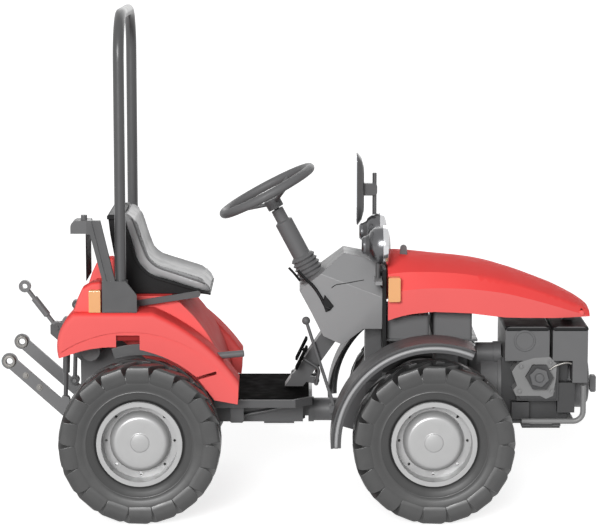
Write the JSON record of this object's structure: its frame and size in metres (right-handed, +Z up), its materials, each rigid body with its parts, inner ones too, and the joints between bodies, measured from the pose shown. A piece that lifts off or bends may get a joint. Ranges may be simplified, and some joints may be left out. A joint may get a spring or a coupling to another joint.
{
  "type": "mini tractor",
  "caption": "Articulated mini tractor with equal lugged wheels, open driver's seat under a roll-over hoop, hinged hood, front engine and a rear three-point hitch.",
  "frame": {"origin": "on the ground under the middle of the tractor's box", "axes": "+X forward, +Y to the driver's left, +Z up"},
  "size_m": [2.1499, 1, 1.79],
  "materials": {
    "red_paint": "smooth red paint",
    "grey_paint": "satin dark grey paint",
    "cast_grey": "painted castings",
    "tyre": "moulded rubber with lugs",
    "wheel_silver": "pale silver paint",
    "dark_plastic": "moulded dark plastic",
    "black_plastic": "black moulded plastic",
    "rubber": "ribbed black rubber",
    "seat_vinyl": "grained dark grey vinyl",
    "amber": "amber lens",
    "lens": "clear lens",
    "mirror": "silvered glass",
    "steel": "heat-stained steel"
  },
  "bodies": {
    "rear_half": {"floor_mat": "rubber", "floor_plate": "grey_paint", "hand_lever": "dark_plastic", "hitch_bracket": "grey_paint", "hoop_brackets": "grey_paint", "lift_housing": "cast_grey", "plate_carrier": "grey_paint", "plate_lamp": "dark_plastic", "rear_axle": "cast_grey", "rear_fender_left": "red_paint", "rear_fender_right": "red_paint", "rear_frame": "grey_paint", "rear_lamps": "amber", "rear_plate": "dark_plastic", "roll_hoop": "grey_paint", "seat_base": "black_plastic", "seat_cushion": "seat_vinyl", "seat_pedestal": "red_paint", "seat_shell": "black_plastic"},
    "front_half": {"front_case": "cast_grey", "front_axle": "cast_grey", "clutch_housing": "cast_grey", "engine": "cast_grey", "engine_covers": "dark_plastic", "silencer": "steel", "recoil_starter": "dark_plastic", "engine_bed": "grey_paint", "guard_tube": "grey_paint", "hood_frame": "grey_paint", "hood_boxes": "dark_plastic", "front_fender_left": "dark_plastic", "front_fender_right": "dark_plastic", "hood_hinge": "grey_paint", "console": "dark_plastic", "steering_post": "grey_paint", "pedal_pads": "rubber", "gear_lever": "dark_plastic", "steering_column": "dark_plastic", "headlamps": "grey_paint", "lamp_lenses": "lens", "mirror": "grey_paint", "mirror_glass": "mirror"},
    "hood": {"hood": "red_paint", "front_lamps": "amber", "hood_knob": "dark_plastic"},
    "steering_wheel": {"steering_wheel": "dark_plastic"},
    "lower_links": {"lower_links": "grey_paint"},
    "lift_arms": {"lift_arms": "grey_paint"},
    "lift_rods": {"lift_rods": "grey_paint"},
    "top_link": {"top_link": "grey_paint"},
    "front_left_wheel": {"tyre_front_left": "tyre", "wheel_front_left": "wheel_silver"},
    "front_right_wheel": {"tyre_front_right": "tyre", "wheel_front_right": "wheel_silver"},
    "rear_left_wheel": {"tyre_rear_left": "tyre", "wheel_rear_left": "wheel_silver"},
    "rear_right_wheel": {"tyre_rear_right": "tyre", "wheel_rear_right": "wheel_silver"}
  },
  "joints": [
    {"name": "steer", "type": "hinge", "parent": "rear_half", "child": "front_half", "pos_m": [-0.02505, 0, 0.313], "axis": [0, 0, 1], "range_deg": [-30, 30]},
    {"name": "steering_wheel", "type": "hinge", "parent": "front_half", "child": "steering_wheel", "pos_m": [-0.12405, 0, 1.122], "axis": [-0.4695, 0, 0.8829], "range_deg": [-540, 540]},
    {"name": "hood", "type": "hinge", "parent": "front_half", "child": "hood", "pos_m": [1.01095, 0, 0.693], "axis": [0, 1, 0], "range_deg": [0, 55]},
    {"name": "hitch_lift", "type": "hinge", "parent": "rear_half", "child": "lower_links", "pos_m": [-0.76505, 0, 0.277], "axis": [0, -1, 0], "range_deg": [0, 52]},
    {"name": "lift_arms", "type": "hinge", "parent": "rear_half", "child": "lift_arms", "pos_m": [-0.75505, 0, 0.565], "axis": [0, -1, 0], "range_deg": [0, 52]},
    {"name": "lift_rods", "type": "hinge", "parent": "lift_arms", "child": "lift_rods", "pos_m": [-0.83864, 0, 0.67391], "axis": [0, -1, 0], "range_deg": [-52, 0]},
    {"name": "top_link", "type": "hinge", "parent": "rear_half", "child": "top_link", "pos_m": [-0.89505, 0, 0.619], "axis": [0, -1, 0], "range_deg": [0, 85]},
    {"name": "rear_left_wheel", "type": "hinge", "parent": "rear_half", "child": "rear_left_wheel", "pos_m": [-0.56505, 0.42, 0.285], "axis": [0, 1, 0], "continuous": true},
    {"name": "rear_right_wheel", "type": "hinge", "parent": "rear_half", "child": "rear_right_wheel", "pos_m": [-0.56505, -0.42, 0.285], "axis": [0, 1, 0], "continuous": true},
    {"name": "front_left_wheel", "type": "hinge", "parent": "front_half", "child": "front_left_wheel", "pos_m": [0.46495, 0.42, 0.285], "axis": [0, 1, 0], "continuous": true},
    {"name": "front_right_wheel", "type": "hinge", "parent": "front_half", "child": "front_right_wheel", "pos_m": [0.46495, -0.42, 0.285], "axis": [0, 1, 0], "continuous": true}
  ],
  "couplings": [
    {"joint": "steering_wheel", "follows": "steer", "ratio": 18},
    {"joint": "lift_arms", "follows": "hitch_lift", "ratio": 1},
    {"joint": "lift_rods", "follows": "hitch_lift", "ratio": -1}
  ]
}
